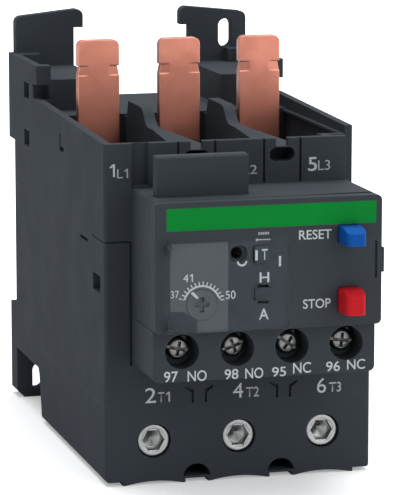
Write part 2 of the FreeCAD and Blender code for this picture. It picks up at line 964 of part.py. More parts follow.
def control_block():
    """Auxiliary terminal block below the control module."""
    body = block((module_offset - aux_half_width, module_offset + aux_half_width),
                 (-aux_front, 0), (aux_bottom, panel_bottom))
    body = round_edges(body, aux_round, lambda e: runs_along(e, "y") and at(e, "z", aux_bottom))
    tools = []
    for x in aux_places:
        head = rod_y(x, aux_screw_z, (-aux_front - past, -aux_head_face + aux_head_length
                                      + clamp_thickness), aux_pocket_half)
        side = block((x - aux_pocket_half, x + aux_pocket_half),
                     (-aux_head_face + aux_head_length, -aux_head_face + aux_head_length + clamp_room),
                     (aux_bottom - past, aux_screw_z + aux_pocket_half))
        shank = rod_y(x, aux_screw_z, (-aux_front, aux_shank_length - aux_head_face
                                       + aux_head_length), aux_shank_radius + dial_fit)
        tools += [head, side, shank]
    return cut_all(body, tools)


def window(x, z, margin):
    """Rectangular opening through the fascia."""
    return block((x[0] - margin, x[1] + margin), (-panel_front - past, past - aux_front),
                 (z[0] - margin, z[1] + margin))


def front_panel():
    """Fascia with its openings, recesses and hinge ears."""
    rear = panel_thickness - panel_front
    plate = block((module_offset - panel_half_width, module_offset + panel_half_width),
                  (-panel_front, rear), (panel_bottom, module_top - panel_drop))
    plate = round_edges(plate, panel_corner, lambda e: runs_along(e, "y"))
    across = (button_left, button_left + button_width)
    tools = [
        window(across, (reset_low, reset_high), button_fit),
        window(across, (stop_low, stop_high), button_fit),
        block((band_left, band_right), (-panel_front - past, band_thickness - panel_front),
              (band_low, band_high)),
        prism_y(scale_outline(), (-panel_front - past, scale_thickness - panel_front)),
        rod_y(dial_x, dial_z, (-panel_front - past, 0), dial_radius + dial_fit),
        window((test_x - test_slot[0] / 2 - test_travel, test_x + test_slot[0] / 2),
               (test_z - test_slot[1] / 2, test_z + test_slot[1] / 2), slider_fit),
        window((mode_x - mode_slot[0] / 2, mode_x + mode_slot[0] / 2),
               (mode_z - mode_slot[1] / 2 - mode_travel, mode_z + mode_slot[1] / 2 + mode_travel),
               slider_fit),
        rod_y(flag_x, flag_z, (-panel_front - past, 0), flag_radius),
        rod_y(flag_x, flag_z, (-panel_front - past, flag_recess - panel_front),
              flag_radius + flag_rim),
        block((edge_groove_x - groove / 2, edge_groove_x + groove / 2),
              (-panel_front - past, groove - panel_front),
              (latch_low - 2 * groove, latch_high + 3 * groove)),
    ]
    body = cut_all(plate, tools)
    side = module_offset + panel_half_width
    latch = block((side - latch_proud, side + latch_proud), (latch_face - panel_front, rear),
                  (latch_low, latch_high))
    return joined([body, latch] + cover_ears())


def cover_axis():
    """Distance of the cover's hinge axis from the main front face, along Y."""
    return -panel_front - cover_gap - cover_thickness / 2


def cover_ears():
    """Two ears with pins that the cover turns on."""
    y = cover_axis()
    span = (hinge_x - ear_half, hinge_x + ear_half)
    front = y - cover_thickness / 2
    low = block(span, (front, -panel_front), (scale_low, scale_low + ear_height))
    high = block(span, (front, -panel_front), (scale_high - ear_height, scale_high))
    reach = ear_height + pin_length
    pins = [
        rod_z(hinge_x, y, (scale_low, scale_low + reach), hinge_pin_radius),
        rod_z(hinge_x, y, (scale_high - reach, scale_high), hinge_pin_radius),
    ]
    return [low, high] + pins


def colour_band():
    """Label strip let into the fascia's top."""
    return block((band_left, band_right), (-panel_front, band_thickness - panel_front),
                 (band_low, band_high))


def scale_outline():
    """Outline of the dial plate, with its stepped lower left corner."""
    return [
        (scale_left, scale_high),
        (scale_left, scale_step),
        (scale_left + scale_bay / 2, scale_step),
        (scale_left + scale_bay, scale_step - scale_drop),
        (scale_left + scale_bay, scale_low),
        (scale_right, scale_low),
        (scale_right, scale_high),
    ]


def scale_plate():
    """Dial plate let into the fascia, round the current dial."""
    plate = prism_y(scale_outline(), (-panel_front, scale_thickness - panel_front))
    hole = rod_y(dial_x, dial_z, (-panel_front - past, 0), dial_radius + dial_fit)
    return plate.cut(hole)


def current_dial():
    """Setting dial with a crossed driver recess, and its shaft."""
    face = -panel_front - dial_proud
    head = rod_y(dial_x, dial_z, (face, panel_thickness - panel_front), dial_radius)
    shaft = rod_y(dial_x, dial_z, (panel_thickness - panel_front, -cam_rear), dial_shaft_radius)
    cuts = []
    for angle in (0, 90):
        slot = block((dial_x - dial_cross, dial_x + dial_cross),
                     (face - past, face + dial_slot_depth),
                     (dial_z - dial_slot_width / 2, dial_z + dial_slot_width / 2))
        cuts.append(slot.rotate(Vector(dial_x, 0, dial_z), Vector(0, 1, 0), angle))
    return head.fuse(shaft).cut(cuts).removeSplitter()


def dial_cam():
    """Eccentric on the dial's shaft that shifts the trip point."""
    cam = rod_y(dial_x + cam_offset, dial_z, (-cam_rear - cam_thickness, -cam_rear), cam_radius)
    bore = rod_y(dial_x, dial_z, (-cam_rear - cam_thickness - past, 0), dial_shaft_radius)
    return cam.cut(bore)


def push_button(low, high):
    """Push button with a sloped top, a stem and a nose inside its spring."""
    front = -button_face
    rear = panel_thickness - panel_front + button_travel
    cap = prism_x(
        [
            (front, low),
            (rear, low),
            (rear, high),
            (front + button_ramp, high),
            (front, high - button_slope),
        ],
        (button_left, button_left + button_width),
    )
    cap = round_edges(cap, button_round, lambda e: at(e, "y", front) and runs_along(e, "z"))
    x = button_left + button_width / 2
    z = (low + high) / 2
    stem = rod_y(x, z, (rear, -stem_rear), stem_radius)
    nose = rod_y(x, z, (-stem_rear, nose_length - stem_rear), nose_radius)
    return joined([cap, stem, nose])


def coil_spring(low, high):
    """Compression spring between a stem and the housing's front wall, wound in short runs."""
    x = button_left + button_width / 2
    z = (low + high) / 2
    length = stem_rear - 2 * (wire_radius + spring_gap)
    steps = spring_turns * runs_per_turn
    path = []
    for step in range(steps + 1):
        turn = 2 * math.pi * step / runs_per_turn
        path.append(Vector(spring_radius * math.cos(turn), length * step / steps,
                           spring_radius * math.sin(turn)))
    half = Vector(wire_radius, 0, 0)
    rise = Vector(0, wire_radius, 0)
    section = [path[0] - half - rise, path[0] + half - rise, path[0] + half + rise,
               path[0] - half + rise]
    sweep = Part.BRepOffsetAPI.MakePipeShell(Part.makePolygon(path))
    sweep.setTransitionMode(1)
    sweep.add(Part.makePolygon(section + section[:1]))
    sweep.build()
    sweep.makeSolid()
    return sweep.shape().translated(Vector(x, wire_radius + spring_gap - stem_rear, z))


def slider(x, z, width, height, slot):
    """Small slide: a cap over its slot, a neck through it and a flange behind the fascia."""
    face = -panel_front - slider_proud
    rear = panel_thickness - panel_front
    cap = block((x - width / 2, x + width / 2), (face, -panel_front - slider_gap),
                (z - height / 2, z + height / 2))
    cap = round_edges(cap, slider_round, lambda e: runs_along(e, "y"))
    neck = block((x - slot[0] / 2, x + slot[0] / 2), (-panel_front - slider_gap, rear + slider_gap),
                 (z - slot[1] / 2, z + slot[1] / 2))
    flange = block((x - width / 2, x + width / 2),
                   (rear + slider_gap, rear + slider_gap + flange_thickness),
                   (z - height / 2, z + height / 2))
    return joined([cap, neck, flange])


def clear_cover():
    """Transparent lid over the dial and the sliders, notched for its hinge ears."""
    y = cover_axis()
    front = y - cover_thickness / 2
    rear = y + cover_thickness / 2
    left = hinge_x - ear_half
    lid = block((left, cover_right), (front, rear), (scale_low, scale_high))
    lid = round_edges(lid, cover_round, lambda e: runs_along(e, "y") and at(e, "x", cover_right))
    notch = (left - past, hinge_x + ear_half + ear_clear)
    depth = ear_height + ear_clear
    tools = [
        block(notch, (front - past, rear + past), (scale_low - past, scale_low + depth)),
        block(notch, (front - past, rear + past), (scale_high - depth, scale_high + past)),
    ]
    hole = pin_length + 2 * ear_clear
    tools += [
        rod_z(hinge_x, y, (scale_low, scale_low + ear_height + hole), hinge_pin_radius + hinge_fit),
        rod_z(hinge_x, y, (scale_high - ear_height - hole, scale_high), hinge_pin_radius + hinge_fit),
    ]
    return cut_all(lid, tools)


def marker_plate():
    """Upright label carrier on top of the module, with a sloped upper front edge."""
    rear = -marker_front + marker_thickness
    plate = prism_x(
        [
            (-marker_front, module_top),
            (rear, module_top),
            (rear, marker_top),
            (marker_bevel - marker_front, marker_top),
            (-marker_front, marker_top - marker_bevel),
        ],
        (marker_left, marker_right),
    )
    return round_edges(plate, marker_round, lambda e: runs_along(e, "y")
                       and at(e, "z", marker_top))


# ---- heating and trip mechanism -----------------------------------------------------------------
def heater_strip(x):
    """Heater ribbon from the line bar's foot down to the bimetal's foot."""
    half = heater_width / 2
    low = parting_height + 2 * floor_thickness
    upright = block((x - half, x + half), (heater_front, heater_front + heater_thickness),
                    (low, bar_foot_height))
    foot = block((x - half, x + half), (bimetal_front, heater_front), (low, low + heater_thickness))
    turns = []
    for i in range(heater_slots):
        side = 1 if i % 2 else -1
        inner = x + side * half * heater_reach
        outer = x - side * (half + past)
        z = low + heater_first + heater_pitch * i
        turns.append(block((min(inner, outer), max(inner, outer)),
                           (heater_front - past, heater_front + heater_thickness + past),
                           (z, z + heater_slot)))
    return cut_all(upright.fuse(foot).removeSplitter(), turns)


def bimetal_strip(x):
    """Bimetal strip standing on the heater's foot, free at the top."""
    low = parting_height + 2 * floor_thickness + heater_thickness
    strip = block((x, x + bimetal_thickness), (bimetal_front, bimetal_front + bimetal_width),
                  (low, bimetal_top))
    foot = block((x - heater_width / 2, x + heater_width / 2),
                 (bimetal_front, bimetal_front + bimetal_width), (low, low + strip_foot))
    return strip.fuse(foot).removeSplitter()


def trip_bar(low):
    """Sliding bar with a window round the tip of each bimetal strip."""
    right = lever_x - lever_thickness / 2 - trip_clear
    bar = block((trip_bar_left, right), (trip_bar_front, trip_bar_front + trip_bar_depth),
                (low, low + trip_bar_thickness))
    tools = [
        block((x - trip_travel - trip_clear, x + bimetal_thickness + trip_clear),
              (bimetal_front - trip_clear, bimetal_front + bimetal_width + trip_clear),
              (low - past, low + trip_bar_thickness + past))
        for x in poles
    ]
    return cut_all(bar, tools)


def compensating_lever():
    """Temperature-compensated lever between the trip bars and the contact carrier."""
    half = lever_thickness / 2
    arm = block((lever_x - half, lever_x + half), (lever_front, lever_rear),
                (trip_bar_low, trip_bar_top()))
    hub = rod_z(lever_x, lever_pivot, (trip_bar_low, trip_bar_top()), lever_hub_radius)
    bore = rod_z(lever_x, lever_pivot, (trip_bar_low - past, trip_bar_top() + past),
                 lever_pin_radius + hinge_fit)
    return joined([arm, hub]).cut(bore)


def lever_pin():
    """Fixed pin that the compensating lever turns on."""
    return rod_z(lever_x, lever_pivot, (trip_bar_low - trip_clear, trip_bar_top() + trip_clear),
                 lever_pin_radius)


def contact_carrier():
    """Moulded slide that carries both contact bridges."""
    right = lever_x - lever_thickness / 2 - trip_clear
    high = carrier_low + carrier_height
    bar = block((carrier_left, right), (carrier_front, carrier_front + carrier_depth),
                (carrier_low, high))
    slots = [
        block((x, x + bridge_thickness), (carrier_front - past, carrier_front + carrier_depth + past),
              (carrier_low + carrier_wall, high - carrier_wall))
        for x in (nc_bridge_x, no_bridge_x)
    ]
    return cut_all(bar, slots)


def bridge(x):
    """Contact bridge held in the carrier, with a rivet at each end."""
    middle = carrier_front + carrier_depth / 2
    return block((x, x + bridge_thickness), (middle - bridge_span / 2, middle + bridge_span / 2),
                 (carrier_low + carrier_wall, carrier_low + carrier_height - carrier_wall))


def fixed_contacts(x_face, toward, places):
    """Two fixed contacts, each a post on a strip that reaches its clamp."""
    middle = carrier_front + carrier_depth / 2
    posts = []
    for end, place in zip((-1, 1), places):
        y = middle + end * (bridge_span / 2 - contact_width / 2)
        near = x_face + toward * contact_gap
        far = near + toward * contact_thickness
        post = block((min(near, far), max(near, far)),
                     (y - contact_width / 2, y + contact_width / 2),
                     (panel_bottom + module_wall, carrier_low + carrier_height))
        foot = block((min(near, far, place), max(near, far, place)),
                     (y - contact_width / 2, y + contact_width / 2),
                     (panel_bottom + module_wall, panel_bottom + module_wall + contact_thickness))
        posts.append(post.fuse(foot).removeSplitter())
    return posts


def trip_flag():
    """Indicator that slides behind its round window, on an arm that stands on the carrier."""
    reach = flag_radius + flag_margin
    left = flag_x + flag_start
    low = flag_z - reach
    foot = carrier_low + carrier_height
    plate = block((left, left + flag_width), (-flag_depth - flag_thickness, -flag_depth),
                  (low, flag_z + reach))
    arm = block((left, left + flag_arm), (-flag_depth, carrier_front + flag_arm),
                (low, low + flag_arm / 2))
    stand = block((left, left + flag_arm), (carrier_front, carrier_front + flag_arm), (foot, low))
    return joined([plate, arm, stand])


def aux_screw(x):
    """Terminal screw with a round head."""
    face = -aux_head_face
    head = rod_y(x, aux_screw_z, (face, face + aux_head_length), aux_head_radius)
    shank = rod_y(x, aux_screw_z, (face + aux_head_length, face + aux_head_length
                                   + aux_shank_length), aux_shank_radius)
    slot = block((x - aux_head_radius, x + aux_head_radius), (face - past, face + dial_slot_depth),
                 (aux_screw_z - dial_slot_width / 2, aux_screw_z + dial_slot_width / 2))
    return head.fuse(shank).cut(slot).removeSplitter()


def aux_clamp(x):
    """Square clamp washer behind a screw head."""
    front = -aux_head_face + aux_head_length
    plate = block((x - clamp_half, x + clamp_half), (front, front + clamp_thickness),
                  (aux_screw_z - clamp_half, aux_screw_z + clamp_half))
    hole = rod_y(x, aux_screw_z, (front - past, front + clamp_thickness + past), aux_shank_radius)
    return plate.cut(hole)


def main():
    os.makedirs("parts", exist_ok=True)
    write("terminal_base", terminal_base())
    write("upper_housing", upper_housing())
    write("rear_frame", rear_frame())
    write("control_housing", control_housing())
    write("aux_terminal_block", control_block())
    write("front_panel", front_panel())
    write("colour_band", colour_band())
    write("scale_plate", scale_plate())
    write("marker_plate", marker_plate())
    write("clear_cover", clear_cover())
    write("current_dial", current_dial())
    write("dial_cam", dial_cam())
    write("reset_button", push_button(reset_low, reset_high))
    write("stop_button", push_button(stop_low, stop_high))
    write("reset_spring", coil_spring(reset_low, reset_high))
    write("stop_spring", coil_spring(stop_low, stop_high))
    write("test_slider", slider(test_x, test_z, test_width, test_height, test_slot))
    write("mode_slider", slider(mode_x, mode_z, mode_width, mode_height, mode_slot))
    write("trip_flag", trip_flag())
    for number, x in enumerate(poles, start=1):
        write(f"line_bar_{number}", line_bar(x))
        write(f"load_bar_{number}", load_bar(x))
        write(f"terminal_cage_{number}", terminal_cage(x))
        write(f"terminal_screw_{number}", terminal_screw(x))
        write(f"heater_strip_{number}", heater_strip(x))
        write(f"bimetal_strip_{number}", bimetal_strip(x))
    write("trip_bar", trip_bar(trip_bar_low))
    write("differential_bar", trip_bar(trip_bar_low + trip_bar_thickness + trip_bar_gap))
    write("compensating_lever", compensating_lever())
    write("lever_pin", lever_pin())
    write("contact_carrier", contact_carrier())
    write("nc_bridge", bridge(nc_bridge_x))
    write("no_bridge", bridge(no_bridge_x))
    write("nc_fixed_contacts", fixed_contacts(nc_bridge_x + bridge_thickness, 1, aux_places[2:]))
    write("no_fixed_contacts", fixed_contacts(no_bridge_x - carrier_travel, -1, aux_places[:2]))
    write("aux_terminal_screws", [aux_screw(x) for x in aux_places])
    write("aux_clamp_plates", [aux_clamp(x) for x in aux_places])


main()
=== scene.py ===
import json
import math

import bmesh
import bpy
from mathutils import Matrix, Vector

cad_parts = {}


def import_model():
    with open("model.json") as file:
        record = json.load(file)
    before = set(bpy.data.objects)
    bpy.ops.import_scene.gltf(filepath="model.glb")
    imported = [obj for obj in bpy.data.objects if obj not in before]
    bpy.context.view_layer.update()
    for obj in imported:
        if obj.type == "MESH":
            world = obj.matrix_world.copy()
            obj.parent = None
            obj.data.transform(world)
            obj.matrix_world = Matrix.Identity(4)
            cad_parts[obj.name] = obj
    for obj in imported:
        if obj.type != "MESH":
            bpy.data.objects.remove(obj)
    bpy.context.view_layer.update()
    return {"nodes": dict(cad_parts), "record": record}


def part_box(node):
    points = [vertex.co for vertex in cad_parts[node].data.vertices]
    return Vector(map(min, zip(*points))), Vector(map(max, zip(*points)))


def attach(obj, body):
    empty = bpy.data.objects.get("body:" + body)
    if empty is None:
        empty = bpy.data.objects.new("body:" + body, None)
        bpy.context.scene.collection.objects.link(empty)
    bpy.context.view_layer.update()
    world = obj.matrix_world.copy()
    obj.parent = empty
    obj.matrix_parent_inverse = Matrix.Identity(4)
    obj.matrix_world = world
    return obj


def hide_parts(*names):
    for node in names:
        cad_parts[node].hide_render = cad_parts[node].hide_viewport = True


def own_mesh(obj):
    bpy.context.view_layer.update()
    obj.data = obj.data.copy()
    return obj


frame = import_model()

# Looks of the thermal overload relay. Bare lengths are millimetres, and MM turns them into metres;
# only the floor, the lamps and the camera's clipping are in metres outright.

MM = 0.001
CHARCOAL = (0.0345, 0.0405, 0.0470)

CORNER_SAMPLES = 6      # of the bevel and the ambient occlusion nodes
FLAT_COSINE = 0.995     # between the rounded and the flat normal, away from every edge
EDGE_COSINE = 0.86      # the same on an edge

PRINT_LIFT = 0.02 * MM  # printed marks stand this far off their face
BOLD_OFFSET = 0.009     # widening of a bold letter's outline, in units of the font
WIDEST_LETTERS = 1.45   # width over height, where a word's box would stretch it further
ONE_ADVANCE = 0.58      # room that a numeral one takes, over its height
POLES = (1, 2, 3)
AUX_SCREWS = 4

nodes = frame["nodes"]


# ---- shader building blocks ---------------------------------------------------------------------
class Shader:
    """Small helper that adds nodes to one material and links them."""

    def __init__(self, name):
        self.material = bpy.data.materials.new(name)
        self.material.use_nodes = True
        self.tree = self.material.node_tree
        self.tree.nodes.clear()
        self.output = self.add("ShaderNodeOutputMaterial")
        self.body = self.add("ShaderNodeBsdfPrincipled")
        self.join(self.body.outputs["BSDF"], self.output.inputs["Surface"])
        self.place = self.add("ShaderNodeTexCoord").outputs["Object"]

    def add(self, kind, **settings):
        node = self.tree.nodes.new(kind)
        for key, value in settings.items():
            setattr(node, key, value)
        return node

    def join(self, source, target):
        self.tree.links.new(source, target)

    def noise(self, size, detail=3.0, roughness=0.5, stretch=(1, 1, 1)):
        """Noise whose features are about this many millimetres across."""
        scaling = self.add("ShaderNodeMapping")
        scaling.inputs["Scale"].default_value = [s / (size * MM) for s in stretch]
        self.join(self.place, scaling.inputs["Vector"])
        node = self.add("ShaderNodeTexNoise")
        node.inputs["Scale"].default_value = 1.0
        node.inputs["Detail"].default_value = detail
        node.inputs["Roughness"].default_value = roughness
        self.join(scaling.outputs["Vector"], node.inputs["Vector"])
        return node.outputs["Fac"]

    def spread(self, source, low, high, start=0.3, end=0.7):
        """The source's range from start to end, by default most of a noise's, as low to high."""
        node = self.add("ShaderNodeMapRange")
        node.inputs["From Min"].default_value = start
        node.inputs["From Max"].default_value = end
        node.inputs["To Min"].default_value = low
        node.inputs["To Max"].default_value = high
        self.join(source, node.inputs["Value"])
        return node.outputs["Result"]

    def maths(self, operation, first, second):
        """One sum or product of numbers and other nodes' outputs."""
        node = self.add("ShaderNodeMath", operation=operation)
        for socket, value in zip(node.inputs, (first, second)):
            if isinstance(value, (int, float)):
                socket.default_value = value
            else:
                self.join(value, socket)
        return node.outputs["Value"]

    def blend(self, factor, first, second):
        """Colour mix by a factor that comes from another node."""
        node = self.add("ShaderNodeMix", data_type="RGBA")
        self.join(factor, node.inputs["Factor"])
        for socket, value in ((node.inputs["A"], first), (node.inputs["B"], second)):
            if isinstance(value, tuple):
                socket.default_value = (*value, 1.0)
            else:
                self.join(value, socket)
        return node.outputs["Result"]

    def soft_edges(self, radius):
        """Normal that rounds sharp edges, and a mask that is 1 along them."""
        rounded = self.add("ShaderNodeBevel", samples=CORNER_SAMPLES)
        rounded.inputs["Radius"].default_value = radius * MM
        flat = self.add("ShaderNodeNewGeometry").outputs["Normal"]
        dot = self.add("ShaderNodeVectorMath", operation="DOT_PRODUCT")
        self.join(rounded.outputs["Normal"], dot.inputs[0])
        self.join(flat, dot.inputs[1])
        mask = self.spread(dot.outputs["Value"], 0.0, 1.0, FLAT_COSINE, EDGE_COSINE)
        return rounded.outputs["Normal"], mask

    def cavities(self, reach):
        """Mask that is 1 in the open and falls towards 0 in tight corners."""
        node = self.add("ShaderNodeAmbientOcclusion", samples=CORNER_SAMPLES)
        node.inputs["Distance"].default_value = reach * MM
        return node.outputs["AO"]

    def bump(self, height, depth, normal):
        """Relief of this many millimetres over another normal."""
        node = self.add("ShaderNodeBump")
        node.inputs["Distance"].default_value = depth * MM
        self.join(height, node.inputs["Height"])
        self.join(normal, node.inputs["Normal"])
        return node.outputs["Normal"]

    def finish(self, colour=None, roughness=None, normal=None, **constants):
        """Link what varies, set what is constant, and give the material."""
        for key, source in (("Base Color", colour), ("Roughness", roughness), ("Normal", normal)):
            if source is not None:
                self.join(source, self.body.inputs[key])
        for key, value in constants.items():
            self.body.inputs[key.replace("_", " ")].default_value = value
        return self.material


def tint(colour, gain):
    """Lighter or darker colour of the same hue."""
    return tuple(channel * gain for channel in colour)


def moulded_plastic(name, colour, grain=0.006, rough=(0.78, 0.90), edge=0.28, wear=1.8,
                    shine=0.06):
    """Spark-eroded plastic: fine grain, faint flow marks, edges polished and paler by wear."""
    s = Shader(name)
    rounded, edges = s.soft_edges(edge)
    flow = s.noise(26.0, 2.0, 0.5)
    fine = s.noise(0.22, 2.0, 0.5)
    patches = s.noise(9.0, 3.0, 0.6)
    base = s.blend(s.spread(flow, 0.0, 1.0), tint(colour, 0.95), tint(colour, 1.06))
    speckled = s.blend(s.spread(fine, 0.0, 0.3, 0.45, 0.75), base, tint(colour, 1.3))
    scuffs = s.maths("MULTIPLY", edges, s.spread(patches, 0.35, 0.75))
    worn = s.blend(scuffs, speckled, tint(colour, wear))
    gloss = s.maths("SUBTRACT", s.spread(patches, *rough), s.maths("MULTIPLY", edges, 0.10))
    return s.finish(worn, gloss, s.bump(fine, grain, rounded), Specular_IOR_Level=shine)


def bare_copper(name, low, high):
    """Punched copper bar with drawn lines, with painted shade that darkens it from the height high
    down to low, in metres.
    """
    s = Shader(name)
    rounded, edges = s.soft_edges(0.35)
    height = s.add("ShaderNodeSeparateXYZ")
    s.join(s.place, height.inputs["Vector"])
    # painted shade: the copper is darker the lower it sits, and lit at its top
    light_by_height = s.spread(height.outputs["Z"], 0.0, 1.0, low, high)
    drawn = s.noise(0.5, 5.0, 0.7, (1, 1, 0.03))
    cloud = s.noise(4.0, 3.0, 0.6)
    copper = s.blend(light_by_height, (0.20, 0.070, 0.048), (0.46, 0.180, 0.130))
    streaked = s.blend(s.spread(drawn, 0.0, 0.25), copper, (0.40, 0.16, 0.115))
    dulled = s.blend(s.spread(cloud, 0.0, 0.18, 0.4, 0.8), streaked, (0.26, 0.105, 0.075))
    bright = s.blend(s.maths("MULTIPLY", edges, 0.6), dulled, (0.80, 0.44, 0.34))
    return s.finish(bright, s.spread(cloud, 0.38, 0.54), s.bump(drawn, 0.010, rounded),
                    Metallic=1.0)


def plated_steel(name, colour, rough=(0.24, 0.40), turned=0.25, recess_shade=0.12):
    """Plated steel with fine turning marks, dull patches and painted shade that darkens its
    recesses.
    """
    s = Shader(name)
    rounded, edges = s.soft_edges(0.18)
    fine = s.noise(turned, 4.0, 0.7)
    cloud = s.noise(1.6, 3.0, 0.6)
    base = s.blend(s.spread(cloud, 0.0, 1.0), tint(colour, 0.78), colour)
    # painted shade: ambient occlusion darkens the colour in recesses and tight corners
    open_faces = s.spread(s.cavities(2.2), 0.0, 1.0, 0.35, 0.95)
    shaded_recesses = s.blend(open_faces, tint(colour, recess_shade), base)
    bright = s.blend(s.maths("MULTIPLY", edges, 0.6), shaded_recesses, tint(colour, 1.7))
    return s.finish(bright, s.spread(cloud, *rough), s.bump(fine, 0.006, rounded), Metallic=1.0)


def printed_ink(name, colour):
    """Pad-printed ink, slightly thin and uneven."""
    s = Shader(name)
    uneven = s.noise(0.5, 3.0, 0.6)
    ink = s.blend(s.spread(uneven, 0.0, 1.0), tint(colour, 0.80), colour)
    return s.finish(ink, s.spread(uneven, 0.45, 0.65))


def clear_plastic(name):
    """Clear plastic, faintly grey, with shallow sink marks; its faces bend light very little."""
    s = Shader(name)
    haze = s.noise(2.5, 3.0, 0.6)
    sink = s.noise(9.0, 2.0, 0.5)
    colour = s.blend(s.spread(haze, 0.0, 1.0), (0.90, 0.92, 0.93), (0.96, 0.97, 0.98))
    flat = s.add("ShaderNodeNewGeometry").outputs["Normal"]
    return s.finish(colour, s.spread(haze, 0.0, 0.008), s.bump(sink, 0.002, flat),
                    Transmission_Weight=1.0, IOR=1.05)


def painted_flag(name, face, arm, split):
    """Trip flag: a coloured face on an arm of black plastic, parted at the depth split."""
    s = Shader(name)
    rounded = s.soft_edges(0.1)[0]
    depth = s.add("ShaderNodeSeparateXYZ")
    s.join(s.place, depth.inputs["Vector"])
    border = 0.05 * MM
    behind = s.spread(depth.outputs["Y"], 0.0, 1.0, split - border, split + border)
    fine = s.noise(0.3, 3.0, 0.6)
    paint = s.blend(s.spread(fine, 0.0, 1.0), face, tint(face, 1.15))
    return s.finish(s.blend(behind, paint, arm), s.spread(fine, 0.5, 0.6), rounded)


bar_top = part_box("line_bar_1")[1].z
bar_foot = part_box("upper_housing")[1].z * 0.6  # deep in the wells, where the painted shade on the copper is darkest
flag_face_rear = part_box("trip_flag")[0].y + 0.85 * MM
looks = {
    "housing": moulded_plastic("housing_plastic", CHARCOAL),
    "frame": moulded_plastic("frame_plastic", CHARCOAL),
    "controls": moulded_plastic("control_plastic", tint(CHARCOAL, 0.95), rough=(0.58, 0.70),
                                edge=0.35),
    "grey": moulded_plastic("scale_plastic", (0.070, 0.077, 0.082), grain=0.004, edge=0.1,
                            wear=1.2),
    "green": moulded_plastic("green_label", (0.001, 0.175, 0.023), grain=0.003, edge=0.08,
                             wear=1.1, shine=0.1),
    "blue": moulded_plastic("blue_plastic", (0.002, 0.060, 0.255), grain=0.005,
                            rough=(0.38, 0.50), edge=0.35),
    "red": moulded_plastic("red_plastic", (0.42, 0.009, 0.015), grain=0.005,
                           rough=(0.38, 0.50), edge=0.35, wear=1.4),
    "pale": moulded_plastic("inner_plastic", (0.55, 0.54, 0.50), edge=0.15, wear=1.1),
    "flag": painted_flag("flag_plastic", (0.55, 0.12, 0.02), CHARCOAL, flag_face_rear),
    "copper": bare_copper("bar_copper", bar_foot, bar_top),
    # The steel looks below paint shade into their recesses, darker where their recess setting is
    # lower.
    "zinc": plated_steel("screw_zinc", (0.38, 0.385, 0.385), recess_shade=0.42),
    "small_screw": plated_steel("small_screw_zinc", (0.20, 0.20, 0.20), rough=(0.32, 0.48),
                                recess_shade=0.2),
    # A darker copy of the zinc, as painted shade, for the clamp plates and the contacts that sit
    # in shadow.
    "clamp": plated_steel("shaded_zinc", (0.14, 0.14, 0.14), rough=(0.4, 0.6), recess_shade=0.4),
    "strip": plated_steel("strip_steel", (0.50, 0.46, 0.40)),
    "clear": clear_plastic("clear_plastic"),
    "ink": printed_ink("white_ink", (0.42, 0.44, 0.46)),
    "faint_ink": printed_ink("grey_ink", (0.32, 0.33, 0.35)),
}

# Look of each material slot in the record, and of the nodes that look different from their slot.
by_slot = {
    "black_housing": "housing",
    "black_controls": "controls",
    "grey_plate": "grey",
    "green_band": "green",
    "blue_button": "blue",
    "red_button": "red",
    "clear_plastic": "clear",
    "copper": "copper",
    "zinc_steel": "zinc",
    "dark_steel": "small_screw",
    "bimetal": "strip",
    "spring_steel": "zinc",
    "white_plastic": "pale",
    "flag_plastic": "flag",
}
by_node = {
    "rear_frame": "frame",
    # The clamp plates and the contacts deep inside take the darker steel as painted shade.
    "aux_clamp_plates": "clamp",
    "no_fixed_contacts": "clamp",
    "nc_fixed_contacts": "clamp",
    "no_bridge": "clamp",
    "nc_bridge": "clamp",
}


def show(piece, look=None):
    """Put a new object into the scene and, where it is named, give it its only look."""
    bpy.context.scene.collection.objects.link(piece)
    if look:
        piece.data.materials.clear()
        piece.data.materials.append(looks[look])
    return piece


def dress_nodes():
    """Give every CAD node the look of its slot, or its own."""
    for part in frame["record"]["subparts"]:
        node = nodes[part["node"]]
        look = by_node.get(part["node"], by_slot[part["material_slot"]])
        node.data.materials.clear()
        node.data.materials.append(looks[look])


# ---- printed marks ------------------------------------------------------------------------------
def print_word(name, word, left, right, low, high, face, body="body", look="ink", bold=False):
    """Flat printed word in a box given in metres, on a face which looks towards -Y."""
    curve = bpy.data.curves.new(name, "FONT")
    curve.body = word
    curve.offset = BOLD_OFFSET if bold else 0.0
    text = show(bpy.data.objects.new(name, curve))
    bpy.context.view_layer.update()
    mesh = bpy.data.meshes.new_from_object(text)
    bpy.data.objects.remove(text)
    across = [v.co.x for v in mesh.vertices]
    along = [v.co.y for v in mesh.vertices]
    tall = (high - low) / (max(along) - min(along))
    span = max(across) - min(across)
    wide = min((right - left) / span, WIDEST_LETTERS * tall)
    start = (left + right - span * wide) / 2
    for v in mesh.vertices:
        x = start + (v.co.x - min(across)) * wide
        z = low + (v.co.y - min(along)) * tall
        v.co = Vector((x, face - PRINT_LIFT, z))
    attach(show(bpy.data.objects.new(name, mesh), look), body)


def print_rows(prefix, rows, x, z, face, body="body", look="ink", bold=False):
    """Words, each with its left, right, low and high side from one point of a face."""
    for number, (word, left, right, low, high) in enumerate(rows, start=1):
        name = f"{prefix}_{number}_{word}"
        if word.endswith("1"):
            tall = high - low
            flat_marks(f"{name}_one", numeral_one(right, low, tall), x, z, face, body, look)
            right -= ONE_ADVANCE * tall
            word = word[:-1]
        if word:
            print_word(name, word, x + left * MM, x + right * MM, z + low * MM, z + high * MM,
                       face, body, look, bold)


def numeral_one(right, low, tall):
    """Stem and flag of the numeral one, ending at this right side."""
    stem = right - 0.16 * tall
    tip = stem - 0.24 * tall
    top = low + tall
    upper = top - 0.20 * tall
    lower = top - 0.34 * tall
    return [[(stem, low), (right, low), (right, top), (stem, top)],
            [(stem, top), (tip, upper), (tip, lower), (stem, upper)]]


def middle(node):
    """Middle of a CAD node's box."""
    low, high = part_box(node)
    return (low + high) / 2


